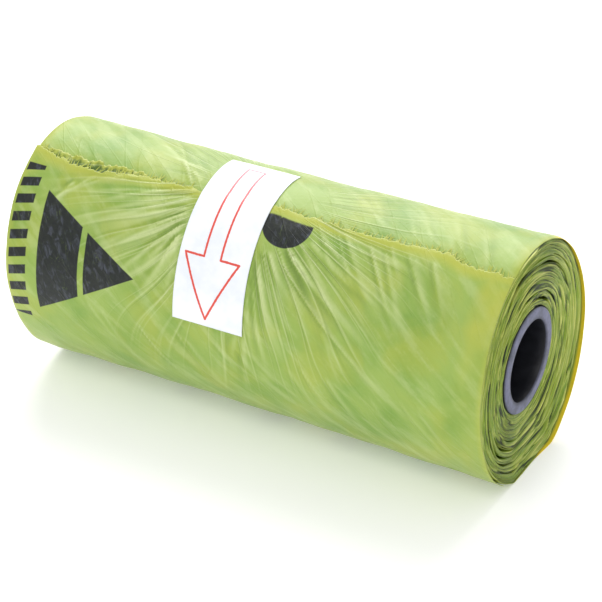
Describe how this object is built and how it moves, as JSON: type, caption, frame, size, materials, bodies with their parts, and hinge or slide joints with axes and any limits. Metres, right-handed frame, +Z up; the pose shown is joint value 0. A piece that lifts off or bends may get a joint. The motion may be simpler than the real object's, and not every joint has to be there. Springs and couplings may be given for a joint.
{
  "type": "roll of dog-waste bags",
  "caption": "Roll of thin folded waste bags wound on a hollow core, with a torn free end that lifts and a small closing label that peels.",
  "frame": {"origin": "centre of the core's bore, halfway along the roll", "axes": "+X along the roll's axis, +Z up from the flat it rests on, -Y to the front where the free end and the label lie"},
  "size_m": [0.06, 0.0273, 0.0271],
  "materials": {
    "film": "thin translucent yellow-green film, slightly glossy, finely creased",
    "core": "dark extruded plastic, paler on its cut ends",
    "label": "smooth white coated paper with a thin red outline arrow"
  },
  "bodies": {
    "roll": {"bag_01": "film", "bag_02": "film", "bag_03": "film", "bag_04": "film", "bag_05": "film", "bag_06": "film", "bag_07": "film", "bag_08": "film", "bag_09": "film", "bag_10": "film", "bag_11": "film", "bag_12": "film", "bag_13": "film", "bag_14": "film", "bag_15": "film", "bag_16": "film", "bag_17": "film", "bag_18": "film", "bag_19": "film", "bag_20": "film"},
    "core": {"core_tube": "core"},
    "free_end": {"bag_01_free_end": "film"},
    "label": {"closing_label": "label"}
  },
  "joints": [
    {"name": "core_spin", "type": "hinge", "parent": "roll", "child": "core", "pos_m": [0, 0, 0], "axis": [1, 0, 0], "continuous": true},
    {"name": "free_end_lift", "type": "hinge", "parent": "roll", "child": "free_end", "pos_m": [0, -0.01318, -0.00338], "axis": [1, 0, 0], "range_deg": [0, 90]},
    {"name": "label_peel", "type": "hinge", "parent": "free_end", "child": "label", "pos_m": [0, -0.01363, 0.00179], "axis": [1, 0, 0], "range_deg": [0, 75]}
  ]
}
